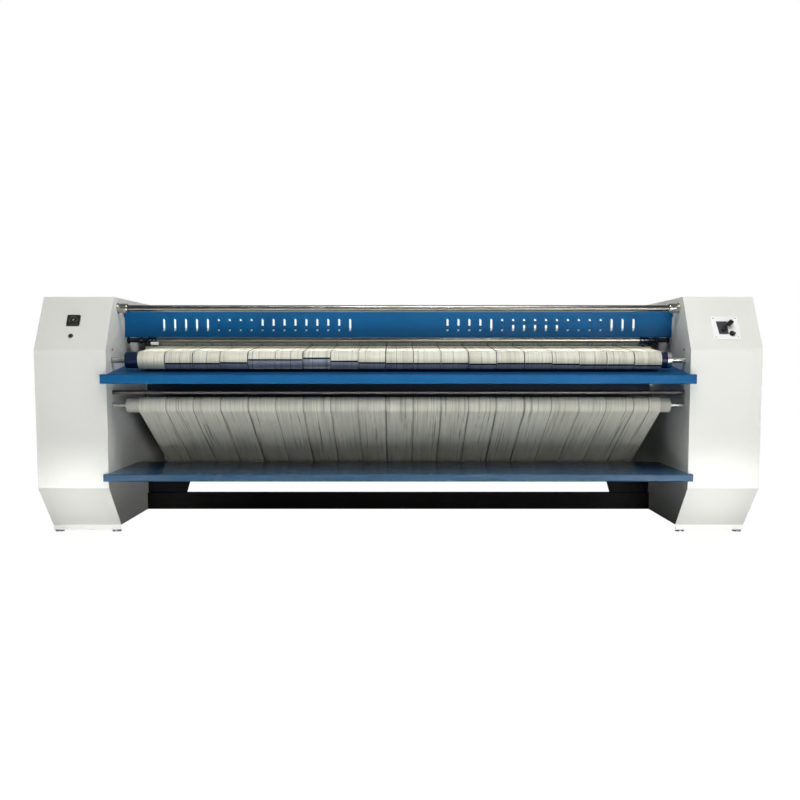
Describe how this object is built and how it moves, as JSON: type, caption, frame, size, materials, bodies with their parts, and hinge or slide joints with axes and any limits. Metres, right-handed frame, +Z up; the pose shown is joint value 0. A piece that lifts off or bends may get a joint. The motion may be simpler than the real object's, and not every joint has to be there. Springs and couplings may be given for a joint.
{
  "type": "flatwork ironer",
  "caption": "Wide flatwork ironer: heated drum and belted rolls between two faceted cabinets, with a feed table, slotted finger guard and receiving shelf",
  "frame": {"origin": "on the floor under the middle of the machine, at the centre of its bounding box's bottom", "axes": "+X across the machine to the operator's right, -Y towards the operator at the feed table, +Z up"},
  "size_m": [3.88, 1.34, 1.307],
  "materials": {
    "cabinet_paint": "smooth off-white powder coat",
    "blue_paint": "semi-gloss blue paint",
    "black_paint": "satin black paint",
    "polished_steel": "polished steel",
    "chrome": "bright chrome",
    "navy_paint": "dark navy paint",
    "grey_roll": "grey paint",
    "bare_steel": "machined steel",
    "cast_iron": "painted casting",
    "motor_paint": "motor paint",
    "element_sheath": "heat-tinted sheath",
    "belt_rubber": "matt rubber",
    "feed_canvas": "off-white woven belting",
    "ironing_canvas": "grey-white woven belting",
    "black_plastic": "black moulding",
    "bezel_metal": "plated ring",
    "plate_white": "white paint",
    "escutcheon_grey": "dark grey",
    "switchgear_grey": "grey mouldings on a plate"
  },
  "bodies": {
    "frame": {"base_beam": "black_paint", "base_frames": "black_paint", "button_bezel": "bezel_metal", "button_contacts": "black_plastic", "cable_gland": "black_plastic", "carrier_brackets": "black_paint", "control_plate": "plate_white", "drive_motor": "motor_paint", "drum_bearings": "cast_iron", "drum_probe": "bare_steel", "feed_belts": "feed_canvas", "feed_drive_belt": "belt_rubber", "feed_table": "blue_paint", "gearbox": "cast_iron", "guard_rail": "chrome", "guard_switches": "black_plastic", "guide_rod": "polished_steel", "heater_carrier": "bare_steel", "heating_elements": "element_sheath", "ironing_belts": "ironing_canvas", "isolator_escutcheon": "escutcheon_grey", "isolator_switch": "black_plastic", "left_front_cover": "cabinet_paint", "left_side_frame": "cabinet_paint", "levelling_feet": "bare_steel", "motor_stand": "black_paint", "press_bar": "polished_steel", "press_bar_clamps": "black_paint", "rail_flanges": "chrome", "rear_covers": "cabinet_paint", "rear_hood": "cabinet_paint", "rear_tie_beam": "black_paint", "receiving_shelf": "blue_paint", "right_front_cover": "cabinet_paint", "right_side_frame": "cabinet_paint", "roll_bearings": "cast_iron", "shelf_brackets": "black_paint", "side_covers": "cabinet_paint", "switchgear": "switchgear_grey", "temperature_meter": "black_plastic", "top_covers": "cabinet_paint"},
    "drum": {"drum_shell": "polished_steel", "drum_ends": "bare_steel", "drum_gear": "bare_steel", "feed_drive_pulley": "cast_iron"},
    "pinion": {"drive_pinion": "bare_steel"},
    "front_feed": {"front_feed_roll": "navy_paint"},
    "rear_feed": {"rear_feed_roll": "grey_roll", "feed_roll_pulley": "cast_iron"},
    "press": {"press_roll": "grey_roll"},
    "front_return": {"lower_front_roll": "grey_roll"},
    "rear_return": {"lower_rear_roll": "grey_roll"},
    "tension": {"tension_roll": "grey_roll"},
    "guard": {"finger_guard": "blue_paint", "guard_pivots": "polished_steel"},
    "button": {"push_button": "black_plastic"},
    "isolator": {"isolator_handle": "black_plastic"},
    "selector": {"selector_knob": "black_plastic"}
  },
  "joints": [
    {"name": "drum_spin", "type": "hinge", "parent": "frame", "child": "drum", "pos_m": [0, 0.21, 0.79], "axis": [1, 0, 0], "continuous": true},
    {"name": "pinion_spin", "type": "hinge", "parent": "frame", "child": "pinion", "pos_m": [0, 0.03668, 0.55999], "axis": [1, 0, 0], "continuous": true},
    {"name": "front_feed_spin", "type": "hinge", "parent": "frame", "child": "front_feed", "pos_m": [0, -0.499, 0.962], "axis": [1, 0, 0], "continuous": true},
    {"name": "rear_feed_spin", "type": "hinge", "parent": "frame", "child": "rear_feed", "pos_m": [0, -0.06871, 1.00386], "axis": [1, 0, 0], "continuous": true},
    {"name": "press_spin", "type": "hinge", "parent": "frame", "child": "press", "pos_m": [0, 0.0373, 1.08912], "axis": [1, 0, 0], "continuous": true},
    {"name": "front_return_spin", "type": "hinge", "parent": "frame", "child": "front_return", "pos_m": [0, -0.499, 0.718], "axis": [1, 0, 0], "continuous": true},
    {"name": "rear_return_spin", "type": "hinge", "parent": "frame", "child": "rear_return", "pos_m": [0, 0.37, 0.258], "axis": [1, 0, 0], "continuous": true},
    {"name": "tension_spin", "type": "hinge", "parent": "frame", "child": "tension", "pos_m": [0, 0.57, 1.095], "axis": [1, 0, 0], "continuous": true},
    {"name": "guard_tilt", "type": "hinge", "parent": "frame", "child": "guard", "pos_m": [0, -0.26, 1.219], "axis": [1, 0, 0], "range_deg": [0, 12]},
    {"name": "button_press", "type": "slide", "parent": "frame", "child": "button", "axis": [0, 0.8549, -0.5188], "range_m": [0, 0.003], "stiffness_N_per_m": 600, "springref_m": -0.003},
    {"name": "isolator_turn", "type": "hinge", "parent": "frame", "child": "isolator", "pos_m": [1.745, -0.54626, 1.12203], "axis": [0, -0.8549, 0.5188], "range_deg": [0, 90]},
    {"name": "selector_turn", "type": "hinge", "parent": "frame", "child": "selector", "pos_m": [1.79, -0.55871, 1.10152], "axis": [0, -0.8549, 0.5188], "range_deg": [-60, 60]}
  ],
  "couplings": [
    {"joint": "pinion_spin", "follows": "drum_spin", "ratio": -5},
    {"joint": "front_feed_spin", "follows": "drum_spin", "ratio": 6.2226},
    {"joint": "rear_feed_spin", "follows": "drum_spin", "ratio": 7.3171},
    {"joint": "press_spin", "follows": "drum_spin", "ratio": -7.1466},
    {"joint": "front_return_spin", "follows": "drum_spin", "ratio": -7.1466},
    {"joint": "rear_return_spin", "follows": "drum_spin", "ratio": -6.8239},
    {"joint": "tension_spin", "follows": "drum_spin", "ratio": -7.1466}
  ]
}
